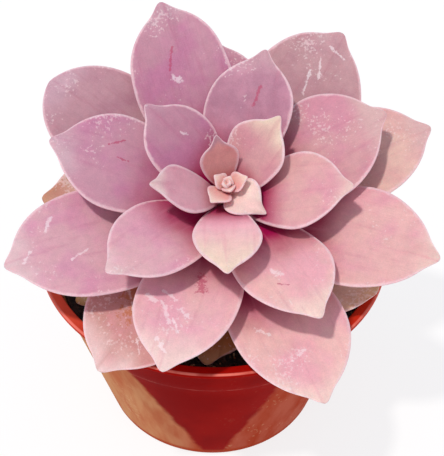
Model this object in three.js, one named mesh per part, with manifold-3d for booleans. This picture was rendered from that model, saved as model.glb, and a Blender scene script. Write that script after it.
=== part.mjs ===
import * as THREE from "three";
import { mergeVertices } from "three/addons/utils/BufferGeometryUtils.js";
import ManifoldModule from "manifold-3d";

// A leaning rosette succulent in a shallow plastic pot. Millimetres, +Z up,
// +X to the viewer's right and +Y away from them, origin at the centre of the pot's base.

const wasm = await ManifoldModule();
wasm.setup();

// Room left between pieces that touch on the real plant
const GAP = 0.3;

// Pot: a thin tapered wall with a faint ledge below a flat lip that stands out at the top
const POT_HEIGHT = 70;
const LIP_RADIUS = 60;
const LIP_WIDTH = 3.5;
const LIP_THICKNESS = 1.8;
const WALL = 1.2;
const FLOOR = 2;
const BASE_RADIUS = 39.5;
const FOOT_CHAMFER = 1;
const LEDGE_HEIGHT = 55;
const LEDGE_STEP = 0.7;
const DRAIN_HOLES = 6;
const DRAIN_RADIUS = 3;
const DRAIN_CIRCLE = 28;
const DRAIN_SIDES = 12;
const POT_SIDES = 56;

// Soil: filled to below the lip, a little higher in the middle
const SOIL_LEVEL = 60.5;
const SOIL_CROWN = 0.8;
const SOIL_SIDES = 40;
const STEM_DEPTH = 15;

// Rosette: where its bud closes, how far its axis leans towards the viewer, and how deep
// below the closed bud the innermost large leaf is rooted
const BUD_CENTRE = new THREE.Vector3(4.3, -12, 105.3);
const LEAN = 24;
const FIRST_ROOT = 8;
const GOLDEN_ANGLE = 137.508;
const FIRST_AZIMUTH = 103.5;
const LEAF_COUNT = 29;
const TINY_LEAF_COUNT = 7;

// Stem: thin under the bud, thicker down where the old leaves sit
const STEM_TOP_RADIUS = 2.2;
const STEM_FOOT_RADIUS = 5.2;
const STEM_THICKENS_OVER = 12;
const STEM_ABOVE = 3;
const STEM_TIP_RADIUS = 1.3;
const STEM_SIDES = 14;
const STEM_ROWS = 7;

// Bud: a small cone above the stem, and how far apart the tiny leaves are rooted on it
const CONE_TOP = 0.5;
const CONE_TOP_RADIUS = 0.6;
const TINY_LEAF_STEP = 0.75;

// Leaf section: how the thickness is shared by the two faces, and the root's share of the width
const UPPER_SHARE = 0.35;
const LOWER_SHARE = 0.65;
const ROOT_WIDTH_SHARE = 0.12;
const CUSP = 3;
const WIDEST_POWER = 1.6;
const INNER_POWER = 0.62;
const POWER_PER_LEAF = -0.006;
const LEAF_STATIONS = 11;
const LEAF_RING = 12;
const TOWARDS_TIP = 1.4;
const FIRST_OLD_LEAF = 22;

// What single leaves do beside the spiral's rule, in degrees and millimetres: turn swings a leaf
// round the stem, longer and wider change its size, lift raises it, roll banks it to its left,
// sway bends its tip to its left as a share of its length, arched and cupped add to its arch
// and cup, and cusp is the length of its point where that isn't the usual one.
const DEPARTURES = {
  0: { turn: 6 },
  1: { turn: -2, longer: -14, wider: -2, lift: -28, arched: 0.24, cupped: 0.2 },
  2: { turn: 8, longer: -2, wider: -2, lift: -3 },
  3: { turn: -2, longer: -8, roll: -6 },
  4: { turn: -3, longer: -1, wider: -2 },
  5: { turn: 3, longer: -8, roll: 5 },
  6: { turn: -4, longer: -8 },
  7: { turn: 3, longer: -1, wider: -1, roll: 3 },
  8: { turn: -8, longer: -6, roll: -10 },
  9: { turn: -4, longer: -3, roll: -8 },
  10: { turn: -1, longer: -1, wider: 2 },
  11: { turn: -8, longer: -4, wider: 5, roll: -4, sway: 0.07 },
  12: { longer: 1, wider: -1, roll: 6 },
  13: { turn: -4, longer: 7, roll: -6, sway: -0.04 },
  14: { turn: 2, longer: 4, wider: 1 },
  15: { turn: 4, longer: 6, wider: 4, lift: -1, roll: 3, sway: -0.05 },
  16: { turn: -11, longer: 3, wider: 5, roll: 5, sway: 0.08 },
  17: { turn: 8, longer: 5, wider: 1, roll: -6 },
  18: { turn: -1, longer: 3, wider: 3, sway: -0.03, cusp: 0.5 },
  19: { turn: 11, longer: 2, roll: -6 },
  20: { turn: 6, longer: -3, wider: 2, roll: 5, sway: -0.05 },
  21: { longer: -8 },
  22: { turn: 12, longer: -17, cusp: 1 },
  23: { turn: -4, longer: -12 },
  24: { longer: -12 },
  25: { turn: -2, longer: -23, wider: -6 },
  26: { longer: -18 },
  27: { longer: -18, wider: -4 },
  28: { turn: -2, longer: -18, wider: -6 },
};

const radians = THREE.MathUtils.degToRad;

// Merge the vertices that a three.js shape repeats and drop the triangles that fall to a line
function solidOf(geometry) {
  const bare = geometry.clone();
  bare.deleteAttribute("normal");
  bare.deleteAttribute("uv");
  const merged = mergeVertices(bare, 1e-4);
  const index = merged.index.array;
  const triangles = [];
  for (let i = 0; i < index.length; i += 3) {
    const [a, b, c] = [index[i], index[i + 1], index[i + 2]];
    if (a !== b && b !== c && c !== a) {
      triangles.push(a, b, c);
    }
  }
  const vertProperties = new Float32Array(merged.attributes.position.array);
  const triVerts = new Uint32Array(triangles);
  return new wasm.Manifold(new wasm.Mesh({ numProp: 3, vertProperties, triVerts }));
}

function geometryOf(solid) {
  const { vertProperties, triVerts } = solid.getMesh();
  const geometry = new THREE.BufferGeometry();
  geometry.setAttribute("position", new THREE.BufferAttribute(vertProperties, 3));
  geometry.setIndex(new THREE.BufferAttribute(triVerts, 1));
  geometry.computeVertexNormals();
  return geometry;
}

// A profile of [radius, height] pairs turned about the Z axis
function turned(profile, sides) {
  const points = profile.map(([radius, height]) => new THREE.Vector2(radius, height));
  return new THREE.LatheGeometry(points, sides).rotateX(Math.PI / 2);
}

function upright(radius, height, sides) {
  return new THREE.CylinderGeometry(radius, radius, height, sides).rotateX(Math.PI / 2);
}

function mesh(name, geometry, material) {
  const made = new THREE.Mesh(geometry, material);
  made.name = name;
  return made;
}

const plastic = new THREE.MeshStandardMaterial({ color: 0x8e0a06, roughness: 0.3 });
const earth = new THREE.MeshStandardMaterial({ color: 0x241c17, roughness: 0.95 });
const stemSkin = new THREE.MeshStandardMaterial({ color: 0x9a7f6c, roughness: 0.8 });
const leafSkin = new THREE.MeshStandardMaterial({ color: 0xc98f98, roughness: 0.6 });
const budSkin = new THREE.MeshStandardMaterial({ color: 0xd59c8a, roughness: 0.6 });
const oldLeafSkin = new THREE.MeshStandardMaterial({ color: 0xc2a184, roughness: 0.7 });

// Radius of the wall's outer face at a height, without the ledge
const WALL_TOP = POT_HEIGHT - LIP_THICKNESS;
const WALL_TOP_RADIUS = LIP_RADIUS - LIP_WIDTH + WALL;
function wallRadius(height) {
  return THREE.MathUtils.lerp(BASE_RADIUS, WALL_TOP_RADIUS, height / WALL_TOP);
}

function potMesh() {
  const profile = [
    [0, 0],
    [BASE_RADIUS - FOOT_CHAMFER, 0],
    [wallRadius(FOOT_CHAMFER), FOOT_CHAMFER],
    [wallRadius(LEDGE_HEIGHT) - LEDGE_STEP, LEDGE_HEIGHT - LEDGE_STEP],
    [wallRadius(LEDGE_HEIGHT), LEDGE_HEIGHT],
    [WALL_TOP_RADIUS, WALL_TOP],
    [LIP_RADIUS, WALL_TOP],
    [LIP_RADIUS, POT_HEIGHT],
    [LIP_RADIUS - LIP_WIDTH, POT_HEIGHT],
    [wallRadius(LEDGE_HEIGHT) - WALL - LEDGE_STEP, LEDGE_HEIGHT],
    [wallRadius(FLOOR) - WALL, FLOOR],
    [0, FLOOR],
  ];
  let body = solidOf(turned(profile, POT_SIDES));
  for (let hole = 0; hole < DRAIN_HOLES; hole++) {
    const angle = (2 * Math.PI * hole) / DRAIN_HOLES;
    const drill = upright(DRAIN_RADIUS, 4 * FLOOR, DRAIN_SIDES);
    drill.translate(DRAIN_CIRCLE * Math.cos(angle), DRAIN_CIRCLE * Math.sin(angle), 0);
    body = body.subtract(solidOf(drill));
  }
  return mesh("pot", geometryOf(body), plastic);
}

// Distance of leaf n's root below the bud's centre, along the stem
function drop(n) {
  return FIRST_ROOT + 0.9 * n + 0.012 * n * n;
}

function stemRadius(depth) {
  const share = 1 - Math.exp(-Math.max(depth - FIRST_ROOT, 0) / STEM_THICKENS_OVER);
  return STEM_TOP_RADIUS + (STEM_FOOT_RADIUS - STEM_TOP_RADIUS) * share;
}

// Depths of the stem's two ends below the bud's centre, its foot in the soil
const STEM_TOP = FIRST_ROOT - STEM_ABOVE;
const STEM_END = (BUD_CENTRE.z - SOIL_LEVEL) / Math.cos(radians(LEAN)) + STEM_DEPTH;

function stemGeometry(grown) {
  const profile = [[0, -STEM_END - grown]];
  for (let row = STEM_ROWS; row >= 0; row--) {
    const depth = THREE.MathUtils.lerp(FIRST_ROOT, STEM_END, (row / STEM_ROWS) ** 1.5);
    const end = row === STEM_ROWS ? -grown : 0;
    profile.push([stemRadius(depth) + grown, -depth + end]);
  }
  profile.push([STEM_TIP_RADIUS + grown, -STEM_TOP + grown], [0, -STEM_TOP + grown]);
  return turned(profile, STEM_SIDES);
}

// The rosette's frame: origin at the bud's centre, +Z along the leaning axis
const rosette = new THREE.Group();
rosette.position.copy(BUD_CENTRE);
rosette.rotation.x = radians(LEAN);
rosette.updateMatrixWorld(true);

function soilMesh() {
  const inside = (height) => wallRadius(height) - WALL - LEDGE_STEP - GAP;
  const bottom = FLOOR + GAP;
  const profile = [
    [0, bottom],
    [inside(bottom) - GAP, bottom],
    [inside(SOIL_LEVEL), SOIL_LEVEL],
    [inside(SOIL_LEVEL) / 2, SOIL_LEVEL + SOIL_CROWN / 2],
    [0, SOIL_LEVEL + SOIL_CROWN],
  ];
  const hole = stemGeometry(GAP).applyMatrix4(rosette.matrixWorld);
  const body = solidOf(turned(profile, SOIL_SIDES)).subtract(solidOf(hole));
  return mesh("soil", geometryOf(body), earth);
}

// Share of the half width at s, 0 at the root and 1 at the tip: widest at two thirds, and the
// blunter at the end the smaller the power is
function widthShare(s, power) {
  const blade = Math.max(Math.sin(Math.PI * s ** WIDEST_POWER), 0) ** power;
  return s < 0.5 ? Math.max(blade, ROOT_WIDTH_SHARE) : blade;
}

// Share of the full thickness at s: slim where it leaves the stem, thick in the middle
function thicknessShare(s) {
  return (0.4 + 0.6 * THREE.MathUtils.smoothstep(s, 0, 0.45)) * Math.sqrt(1 - s ** 4);
}

// A leaf along +X with its upper face up. Every section is a loop of two half ellipses,
// and the blade arches along its length, cups across it and ends in a short cusp.
function leafGeometry({ length, width, power, thickness, arch, cup, sway, cusp }) {
  const cuspWidth = 0.075 * width + 0.6;
  const positions = [];
  const addPoint = (s, around) => {
    const half = (width / 2) * widthShare(s, power);
    const u = Math.cos(around);
    const face = Math.sin(around);
    const y = half * u;
    const pull = cusp * Math.exp(-((y / cuspWidth) ** 2)) * THREE.MathUtils.smoothstep(s, 0.7, 1);
    const swell = face * (face > 0 ? UPPER_SHARE : LOWER_SHARE) * thickness * thicknessShare(s);
    const rise = 4 * length * arch * s * (1 - s) + cup * half * u * u;
    positions.push((length - cusp) * s + pull, y + sway * length * s * s, rise + swell);
  };
  for (let station = 0; station < LEAF_STATIONS; station++) {
    const s = 1 - (1 - station / LEAF_STATIONS) ** TOWARDS_TIP;
    for (let k = 0; k < LEAF_RING; k++) {
      addPoint(s, (2 * Math.PI * k) / LEAF_RING);
    }
  }
  positions.push(0, 0, 0);
  positions.push(length, sway * length, 0);
  const rootPoint = LEAF_STATIONS * LEAF_RING;
  const tipPoint = rootPoint + 1;
  const index = [];
  for (let k = 0; k < LEAF_RING; k++) {
    const next = (k + 1) % LEAF_RING;
    index.push(rootPoint, next, k);
    for (let station = 0; station < LEAF_STATIONS - 1; station++) {
      const here = station * LEAF_RING;
      const there = here + LEAF_RING;
      index.push(here + k, here + next, there + k, here + next, there + next, there + k);
    }
    const last = (LEAF_STATIONS - 1) * LEAF_RING;
    index.push(last + k, last + next, tipPoint);
  }
  const geometry = new THREE.BufferGeometry();
  geometry.setAttribute("position", new THREE.Float32BufferAttribute(positions, 3));
  geometry.setIndex(index);
  return geometry;
}

// Size and pose of leaf n by the rosette's growth: the outer leaves are longer, wider and flatter
function largeLeaf(n) {
  const { turn = 0, longer = 0, wider = 0, lift = 0, roll = 0, sway = 0 } = DEPARTURES[n] ?? {};
  const { arched = 0, cupped = 0, cusp = CUSP } = DEPARTURES[n] ?? {};
  return {
    power: INNER_POWER + POWER_PER_LEAF * n,
    length: 25 + 54 * (1 - Math.exp(-n / 8)) + longer,
    width: 13 + 26 * (1 - Math.exp(-n / 8)) + wider,
    thickness: 2.4 + 2 * (1 - Math.exp(-n / 6)),
    arch: 0.045 - 0.14 * Math.exp(-n / 1.5) + arched,
    cup: 0.1 + cupped,
    sway,
    cusp,
    pitch: 14 + 50 * Math.exp(-n / 5.5) + lift,
    azimuth: FIRST_AZIMUTH - GOLDEN_ANGLE * n + turn,
    roll,
    height: -drop(n),
  };
}

// Leaf k of the bud, counted inwards from the innermost large leaf: each smaller and more upright
function tinyLeaf(k) {
  const length = 15.5 * Math.exp(-0.26 * k);
  return {
    length,
    width: 10.4 * Math.exp(-0.2 * k),
    power: INNER_POWER,
    thickness: 1.6,
    arch: 0.05,
    cup: 0.25,
    sway: 0,
    cusp: 0.12 * length,
    pitch: 36 + 4.2 * k,
    azimuth: FIRST_AZIMUTH + GOLDEN_ANGLE * k - 4,
    roll: 0,
    height: -STEM_TOP + 2 * GAP + TINY_LEAF_STEP * k,
  };
}

function place(object, leaf) {
  object.position.z = leaf.height;
  object.rotation.set(radians(leaf.roll), radians(-leaf.pitch), radians(leaf.azimuth), "ZYX");
  object.updateMatrix();
}

// One large leaf, its root cut clear of the stem
function leafMesh(n) {
  const leaf = largeLeaf(n);
  const skin = n >= FIRST_OLD_LEAF ? oldLeafSkin : leafSkin;
  const made = mesh(`leaf_${String(n).padStart(2, "0")}`, undefined, skin);
  place(made, leaf);
  const stemHere = stemGeometry(GAP).applyMatrix4(made.matrix.clone().invert());
  made.geometry = geometryOf(solidOf(leafGeometry(leaf)).subtract(solidOf(stemHere)));
  return made;
}

// The growing tip: a short cone of stem with the tiny leaves rooted in it, all one body
function shootTipMesh() {
  const cone = [
    [0, -STEM_TOP + GAP],
    [STEM_TIP_RADIUS, -STEM_TOP + GAP],
    [CONE_TOP_RADIUS, 0],
    [0, CONE_TOP],
  ];
  let body = solidOf(turned(cone, STEM_SIDES));
  for (let k = 1; k <= TINY_LEAF_COUNT; k++) {
    const leaf = tinyLeaf(k);
    const holder = new THREE.Object3D();
    place(holder, leaf);
    body = body.add(solidOf(leafGeometry(leaf).applyMatrix4(holder.matrix)));
  }
  return mesh("shoot_tip", geometryOf(body), budSkin);
}

rosette.add(mesh("stem", geometryOf(solidOf(stemGeometry(0))), stemSkin), shootTipMesh());
for (let n = 0; n < LEAF_COUNT; n++) {
  rosette.add(leafMesh(n));
}

const plant = new THREE.Group();
plant.add(potMesh(), soilMesh(), rosette);

export default plant;
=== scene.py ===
# %% [markdown]
# A potted rosette succulent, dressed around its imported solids.
# The plant is a golden-angle spiral of thick waxy leaves on a short leaning stem. It grows in
# dark gritty soil in a shallow red plastic pot. This lesson remakes each piece as a fine
# surface, from the same growth rule that its solid follows, and then gives it its skin.

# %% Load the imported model
import math

import bpy
import numpy as np
from mathutils import Matrix, Vector


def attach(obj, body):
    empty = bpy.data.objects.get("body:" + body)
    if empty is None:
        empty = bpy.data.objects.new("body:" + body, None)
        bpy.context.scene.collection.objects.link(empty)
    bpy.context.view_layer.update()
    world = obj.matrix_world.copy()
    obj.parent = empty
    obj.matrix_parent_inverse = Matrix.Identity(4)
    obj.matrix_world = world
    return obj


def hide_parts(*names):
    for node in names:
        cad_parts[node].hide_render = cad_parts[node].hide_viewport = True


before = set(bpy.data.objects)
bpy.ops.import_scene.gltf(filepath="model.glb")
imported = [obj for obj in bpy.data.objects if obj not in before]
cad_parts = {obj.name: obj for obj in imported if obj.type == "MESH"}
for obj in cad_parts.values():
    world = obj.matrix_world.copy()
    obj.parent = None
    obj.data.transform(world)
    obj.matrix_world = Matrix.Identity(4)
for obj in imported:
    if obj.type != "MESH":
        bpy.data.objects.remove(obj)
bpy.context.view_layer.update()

# %% [markdown]
# Sizes are easier to read in millimetres, so the shapes are worked out in millimetres and
# scaled once, when a mesh is made. Colours are read off the photograph as everyday
# 0 to 255 values, and a shader needs them as linear light.

# %% Units and colours
MM = 0.001


def paint(red, green, blue):
    """Linear colour with full alpha from a screen colour of three values from 0 to 255."""
    screen = np.array([red, green, blue]) / 255
    linear = np.where(screen <= 0.04045, screen / 12.92, ((screen + 0.055) / 1.055) ** 2.4)
    return (*linear.tolist(), 1.0)


def smoothstep(x, low, high):
    """0 below low, 1 above high, and a smooth S-curve 3t^2 - 2t^3 between them."""
    t = np.clip((x - low) / (high - low), 0, 1)
    return t * t * (3 - 2 * t)


# %% [markdown]
# The camera looks down at 43 degrees, as the photograph does. It stands about 36 cm away,
# which sets how strongly the near leaves are enlarged, so it is placed first.

# %% Camera
AIM = Vector((2.9, 0, 76)) * MM
ELEVATION = math.radians(42.9)
DISTANCE = 361.2 * MM
ROLL = math.radians(0.93)
LENS = 82.9

scene = bpy.context.scene
camera = bpy.data.objects.new("camera", bpy.data.cameras.new("camera"))
scene.collection.objects.link(camera)
backwards = Vector((0, -math.cos(ELEVATION), math.sin(ELEVATION)))
camera.location = AIM + backwards * DISTANCE
camera.rotation_mode = "QUATERNION"
level = (-backwards).to_track_quat("-Z", "Y")
camera.rotation_quaternion = level @ Matrix.Rotation(ROLL, 3, "Z").to_quaternion()
camera.data.lens = LENS
camera.data.clip_start = 0.01
scene.camera = camera

# %% [markdown]
# Every new piece is a grid of points, so one helper turns grids into meshes. A grid may
# close round on itself, as a leaf's section or a pot's rim does, and each open end is closed
# by a fan to one last point. Values that the skins need, such as how far along a leaf a
# point lies, are stored on the points as named attributes.

# %% Mesh helper


def grid_faces(rows, columns):
    """Quads between the neighbouring rows of a grid whose columns close round."""
    row, column = np.meshgrid(np.arange(rows - 1), np.arange(columns), indexing="ij")
    beside = (column + 1) % columns
    corners = [row * columns + column, row * columns + beside]
    corners += [(row + 1) * columns + beside, (row + 1) * columns + column]
    return np.stack(corners, -1).reshape(-1, 4)


def fan_faces(ring, centre, inwards):
    """Triangles from a closed ring of points to one centre point."""
    beside = np.roll(ring, -1)
    centre = np.full_like(ring, centre)
    faces = (beside, ring, centre) if inwards else (ring, beside, centre)
    return np.stack(faces, -1)


def closed_tube(points):
    """Vertices and faces of rows of closed rings, with a fan to the middle of both end rings."""
    rows, columns, _ = points.shape
    ends = np.stack([points[0].mean(0), points[-1].mean(0)])
    vertices = np.concatenate([points.reshape(-1, 3), ends])
    first = np.arange(columns)
    last = first + (rows - 1) * columns
    quads = grid_faces(rows, columns)
    caps = [fan_faces(first, rows * columns, True), fan_faces(last, rows * columns + 1, False)]
    return vertices, [*quads.tolist(), *caps[0].tolist(), *caps[1].tolist()]


def make_piece(name, vertices, faces, attributes=None):
    """A smooth mesh object from millimetre vertices, with named values on its points."""
    mesh = bpy.data.meshes.new(name)
    mesh.from_pydata((np.asarray(vertices) * MM).tolist(), [], faces)
    for key, values in (attributes or {}).items():
        layer = mesh.attributes.new(key, "FLOAT", "POINT")
        layer.data.foreach_set("value", np.asarray(values, np.float32).ravel())
    mesh.shade_smooth()
    piece = bpy.data.objects.new(name, mesh)
    scene.collection.objects.link(piece)
    return piece


# %% [markdown]
# The rosette follows one rule. Each leaf is turned from the one inside it by the golden
# angle, 137.5 degrees, so that no two leaves lie one above the other. Going outwards, leaves
# are rooted lower on the stem, longer, wider and flatter. A real plant strays a little from
# its rule, so single leaves may also turn, stretch, lift, roll or bend on their own.

# %% Growth rule
BUD_CENTRE = np.array([4.3, -12, 105.3])
LEAN = 24
GAP = 0.3
FIRST_ROOT = 8
ROOT_STEP, ROOT_STEP_GAIN = 0.9, 0.012
STEM_ABOVE = 3
GOLDEN_ANGLE = 137.508
FIRST_AZIMUTH = 103.5
LEAF_COUNT = 29
CUSP = 3
CUP = 0.1
INNER_POWER = 0.62
POWER_PER_LEAF = -0.006

# What the innermost leaf has, what the outermost gains on it, and the leaves that takes
LENGTH, LENGTH_GAIN, GROWS_OVER = 25, 54, 8
WIDTH, WIDTH_GAIN = 13, 26
THICKNESS, THICKNESS_GAIN, THICKENS_OVER = 2.4, 2, 6

# What the outermost leaf has, what the innermost has more, and the leaves that fades over
ARCH, INNER_ARCH, ARCH_FADES_OVER = 0.045, -0.14, 1.5
PITCH, INNER_PITCH, PITCH_FADES_OVER = 14, 50, 5.5

# The tiny leaves: their first sizes, what each one loses or gains on the one outside it
TINY_LEAF_COUNT = 7
TINY_LENGTH, LENGTH_FALL = 15.5, 0.26
TINY_WIDTH, WIDTH_FALL = 10.4, 0.2
TINY_PITCH, PITCH_RISE = 36, 4.2
TINY_THICKNESS, TINY_ARCH, TINY_CUP, TINY_CUSP_SHARE = 1.6, 0.05, 0.25, 0.12
TINY_LEAF_STEP = 0.75
TINY_LEAF_TURN = -4

# %% [markdown]
# What single leaves do beside the rule, in degrees and millimetres: turn swings a leaf round
# the stem, longer and wider change its size, lift raises it, roll banks it, sway bends its
# tip aside, arched and cupped add to its arch and cup, and cusp is the length of its point.

# %% Departures of single leaves
DEPARTURES = {
    0: dict(turn=6),
    1: dict(turn=-2, longer=-14, wider=-2, lift=-28, arched=0.24, cupped=0.2),
    2: dict(turn=8, longer=-2, wider=-2, lift=-3),
    3: dict(turn=-2, longer=-8, roll=-6),
    4: dict(turn=-3, longer=-1, wider=-2),
    5: dict(turn=3, longer=-8, roll=5),
    6: dict(turn=-4, longer=-8),
    7: dict(turn=3, longer=-1, wider=-1, roll=3),
    8: dict(turn=-8, longer=-6, roll=-10),
    9: dict(turn=-4, longer=-3, roll=-8),
    10: dict(turn=-1, longer=-1, wider=2),
    11: dict(turn=-8, longer=-4, wider=5, roll=-4, sway=0.07),
    12: dict(longer=1, wider=-1, roll=6),
    13: dict(turn=-4, longer=7, roll=-6, sway=-0.04),
    14: dict(turn=2, longer=4, wider=1),
    15: dict(turn=4, longer=6, wider=4, lift=-1, roll=3, sway=-0.05),
    16: dict(turn=-11, longer=3, wider=5, roll=5, sway=0.08),
    17: dict(turn=8, longer=5, wider=1, roll=-6),
    18: dict(turn=-1, longer=3, wider=3, sway=-0.03, cusp=0.5),
    19: dict(turn=11, longer=2, roll=-6),
    20: dict(turn=6, longer=-3, wider=2, roll=5, sway=-0.05),
    21: dict(longer=-8),
    22: dict(turn=12, longer=-17, cusp=1),
    23: dict(turn=-4, longer=-12),
    24: dict(longer=-12),
    25: dict(turn=-2, longer=-23, wider=-6),
    26: dict(longer=-18),
    27: dict(longer=-18, wider=-4),
    28: dict(turn=-2, longer=-18, wider=-6),
}

# %% [markdown]
# Three functions now turn a leaf's number into its size and its place on the stem.

# %% Size and pose of a leaf


def drop(n):
    """Depth of leaf n's root below the bud's centre, along the stem."""
    return FIRST_ROOT + ROOT_STEP * n + ROOT_STEP_GAIN * n * n


def large_leaf(n):
    """Size and pose of leaf n. Sizes grow as 1 - e^(-n/k) does, and what only the inner leaves
    have, their steep pitch and hollow arch, fades as e^(-n/k), each with a k of its own."""
    own = DEPARTURES.get(n, {})
    grown = 1 - math.exp(-n / GROWS_OVER)
    return dict(
        length=LENGTH + LENGTH_GAIN * grown + own.get("longer", 0),
        width=WIDTH + WIDTH_GAIN * grown + own.get("wider", 0),
        power=INNER_POWER + POWER_PER_LEAF * n,
        thickness=THICKNESS + THICKNESS_GAIN * (1 - math.exp(-n / THICKENS_OVER)),
        arch=ARCH + INNER_ARCH * math.exp(-n / ARCH_FADES_OVER) + own.get("arched", 0),
        cup=CUP + own.get("cupped", 0),
        cusp=own.get("cusp", CUSP),
        sway=own.get("sway", 0),
        pitch=PITCH + INNER_PITCH * math.exp(-n / PITCH_FADES_OVER) + own.get("lift", 0),
        azimuth=FIRST_AZIMUTH - GOLDEN_ANGLE * n + own.get("turn", 0),
        roll=own.get("roll", 0),
        height=-drop(n),
    )


def tiny_leaf(k):
    """Leaf k of the bud, counted inwards: each one shorter, slimmer, steeper and rooted higher."""
    length = TINY_LENGTH * math.exp(-LENGTH_FALL * k)
    return dict(
        length=length,
        width=TINY_WIDTH * math.exp(-WIDTH_FALL * k),
        power=INNER_POWER,
        thickness=TINY_THICKNESS,
        arch=TINY_ARCH,
        cup=TINY_CUP,
        cusp=TINY_CUSP_SHARE * length,
        sway=0,
        pitch=TINY_PITCH + PITCH_RISE * k,
        azimuth=FIRST_AZIMUTH + GOLDEN_ANGLE * k + TINY_LEAF_TURN,
        roll=0,
        height=STEM_ABOVE - FIRST_ROOT + 2 * GAP + TINY_LEAF_STEP * k,
    )


# %% [markdown]
# A leaf is one closed surface of two parameters. The first, s, runs from root to tip, and the
# second goes once around the section, over the upper face and back under the lower one.
# The section is a flattened ring, wider than thick, so the margin comes out rounded. What the
# skins need to know of a point is kept with it, such as its place on the leaf laid flat.

# %% Leaf surface
UPPER_SHARE = 0.35
LOWER_SHARE = 0.65
ROOT_WIDTH_SHARE = 0.12
WIDEST_POWER = 1.6
STATIONS = 96
RING = 88
TOWARDS_TIP = 1.5
SECTION_FULLNESS = 0.8
SLOW_WAVE, QUICK_WAVE, RIPPLE = 0.015, 0.01, 0.004
FLAT_UNIT = 100.0


def width_share(s, power):
    """Share of the half width at s: sin(pi s^1.6)^power, widest at two thirds. The smaller the
    power is, the blunter the leaf ends."""
    blade = np.clip(np.sin(np.pi * s**WIDEST_POWER), 0, 1) ** power
    return np.where(s < 0.5, np.maximum(blade, ROOT_WIDTH_SHARE), blade)


def thickness_share(s):
    """Share of the thickness at s: slim at the stem, full from the middle, round at the tip."""
    return (0.4 + 0.6 * smoothstep(s, 0, 0.45)) * np.sqrt(np.clip(1 - s**4, 0, 1))


def turn_about(axis, degrees):
    """The matrix of a turn about one of the three axes."""
    return np.array(Matrix.Rotation(math.radians(degrees), 3, axis))


def into_rosette(points, leaf):
    """Roll, pitch and turn leaf points about the stem, then lean the whole rosette."""
    pitched = turn_about("Y", -leaf["pitch"]) @ turn_about("X", leaf["roll"])
    on_stem = points @ (turn_about("Z", leaf["azimuth"]) @ pitched).T + [0, 0, leaf["height"]]
    return on_stem @ turn_about("X", LEAN).T + BUD_CENTRE


def leaf_shape(leaf, stations=STATIONS, ring=RING, seed=0):
    """Points of a leaf and where each lies: (along, margin in mm, upper face or not, flat).
    x runs along the blade, y across it in proportion to the cosine round the section, and z is
    arch + cup + the sine round the section times the thickness, with a few slow waves added."""
    s = 1 - (1 - np.linspace(0, 1, stations)) ** TOWARDS_TIP
    around = np.linspace(0, 2 * np.pi, ring, endpoint=False)
    s, around = np.meshgrid(s, around, indexing="ij")
    draw = np.random.default_rng(seed)
    waves = draw.uniform(0, 2 * np.pi, 4)
    u = np.cos(around)
    slow_wave = SLOW_WAVE * np.sin(9 * s + waves[0] + u)
    quick_wave = QUICK_WAVE * np.sin(17 * s + waves[1])
    half = leaf["width"] / 2 * width_share(s, leaf["power"]) * (1 + slow_wave + quick_wave)
    face = np.sin(around)
    face = np.sign(face) * np.abs(face) ** SECTION_FULLNESS
    y = half * u
    cusp = leaf["cusp"]
    cusp_width = 0.075 * leaf["width"] + 0.6
    pull = cusp * np.exp(-((y / cusp_width) ** 2)) * smoothstep(s, 0.7, 1)
    x = (leaf["length"] - cusp) * s + pull
    share = np.where(face > 0, UPPER_SHARE, LOWER_SHARE)
    swell = face * share * leaf["thickness"] * thickness_share(s)
    rise = 4 * leaf["length"] * leaf["arch"] * s * (1 - s) + leaf["cup"] * half * u * u
    ripple = np.sin(5 * s + 2 * u + waves[2]) * np.sin(3 * s - 3 * u + waves[3])
    ripple *= RIPPLE * leaf["width"]
    points = np.stack([x, y + leaf["sway"] * leaf["length"] * s * s, rise + swell + ripple], -1)
    margin = (1 - np.abs(u)) * half
    values = dict(along=s, margin=margin, upper=smoothstep(face, -0.2, 0.2))
    return points, values | dict(flat_x=x / FLAT_UNIT, flat_y=y / FLAT_UNIT)


def with_ends(values):
    """Values on the grid's points, then their means on both end rings for the two caps."""
    ends = {key: [value[0].mean(), value[-1].mean()] for key, value in values.items()}
    return {key: np.append(value, ends[key]) for key, value in values.items()}


def leaf_piece(name, leaf, seed):
    """The fine mesh of one large leaf, in its place."""
    points, values = leaf_shape(leaf, seed=seed)
    vertices, faces = closed_tube(into_rosette(points, leaf))
    return make_piece(name, vertices, faces, with_ends(values))


leaves = [leaf_piece(f"fine_leaf_{n:02d}", large_leaf(n), seed=n) for n in range(LEAF_COUNT)]
print("leaves:", len(leaves), "triangles each:", 2 * RING * STATIONS)

# %% [markdown]
# The bud is a cluster of tiny leaves that close over the growing point. They use the same
# surface, strongly cupped, and going inwards each one is smaller and steeper than the last.
# The spiral simply goes on inwards, turned by the same golden angle. They are one mesh.

# %% Bud
TINY_STATIONS = 48
TINY_RING = 40
FIRST_TINY_SEED = 100


def join(parts):
    """One vertex array and face list from several, with the later faces counted on."""
    vertices = []
    faces = []
    start = 0
    for points, polygons in parts:
        vertices.append(points)
        faces += [[index + start for index in polygon] for polygon in polygons]
        start += len(points)
    return np.concatenate(vertices), faces


bud_parts = []
bud_values = []
for k in range(1, TINY_LEAF_COUNT + 1):
    leaf = tiny_leaf(k)
    points, values = leaf_shape(leaf, TINY_STATIONS, TINY_RING, seed=FIRST_TINY_SEED + k)
    bud_parts.append(closed_tube(into_rosette(points, leaf)))
    bud_values.append(with_ends(values))
joined_values = {key: np.concatenate([own[key] for own in bud_values]) for key in bud_values[0]}
bud = make_piece("fine_bud", *join(bud_parts), joined_values)
print("bud leaves:", len(bud_parts))

# %% [markdown]
# The stem is mostly hidden. It leans with the rosette, thickens downwards and goes into the
# soil, and fallen leaves have left low rings of scars round it.

# %% Stem
STEM_TOP_RADIUS = 2.2
STEM_FOOT_RADIUS = 5.2
STEM_THICKENS_OVER = 12
STEM_TIP_RADIUS = 1.3
STEM_DEPTH = 15
SCAR_HEIGHT = 0.22
SOIL_LEVEL = 60.5


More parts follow.
